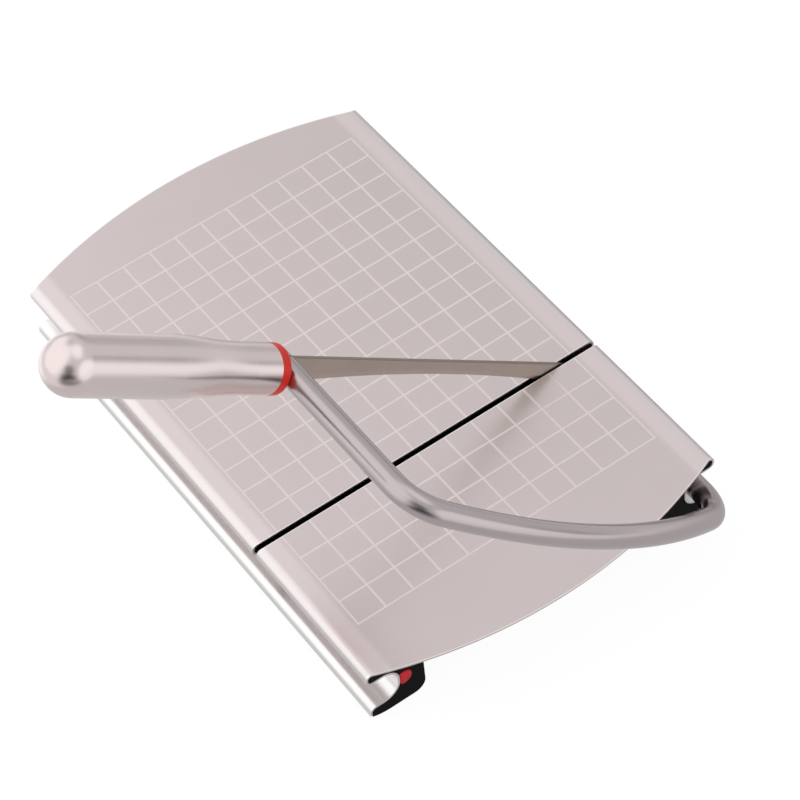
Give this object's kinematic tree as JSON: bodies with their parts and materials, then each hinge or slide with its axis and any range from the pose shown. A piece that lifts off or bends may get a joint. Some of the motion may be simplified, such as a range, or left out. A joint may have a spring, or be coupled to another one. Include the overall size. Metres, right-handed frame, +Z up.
{
  "type": "cheese slicer",
  "caption": "Cheese and butter slicer: a folded steel board on two black runners, with a thin blade on a bent steel rod arm that swings down into a slot across the board.",
  "frame": {"origin": "centre of the flat top of the board, on its surface", "axes": "+X towards the side with the pivot, +Y towards the far, larger end of the board, +Z up out of the board's top"},
  "size_m": [0.179, 0.2241, 0.1506],
  "materials": {
    "board_steel": "satin",
    "rod_steel": "brushed",
    "grip_steel": "satin",
    "blade_steel": "satin",
    "small_steel": "satin",
    "runner_plastic": "matte",
    "bearing_plastic": "matte",
    "core_plastic": "matte",
    "collar_red": "gloss",
    "plug_red": "gloss",
    "strip_rubber": "matte"
  },
  "bodies": {
    "base": {"board_plate": "board_steel", "left_runner": "runner_plastic", "right_runner": "runner_plastic", "near_left_plug": "plug_red", "near_right_plug": "runner_plastic", "far_left_plug": "plug_red", "far_right_plug": "plug_red", "left_grip_strip": "strip_rubber", "right_grip_strip": "strip_rubber", "slot_channel": "runner_plastic", "front_bearing": "bearing_plastic", "middle_bearing": "bearing_plastic", "rear_bearing": "bearing_plastic", "retaining_key": "small_steel"},
    "arm": {"arm_rod": "rod_steel", "blade": "blade_steel", "pivot_blade_screw": "small_steel", "handle_blade_screw": "small_steel", "handle_stud": "small_steel", "collar_ring": "collar_red", "handle_core": "core_plastic", "handle_shell": "grip_steel"}
  },
  "joints": [
    {"name": "arm_hinge", "type": "hinge", "parent": "base", "child": "arm", "pos_m": [0.0582, -0.0362, -0.0108], "axis": [0, 1, 0], "range_deg": [-32.65, 61.35]}
  ]
}
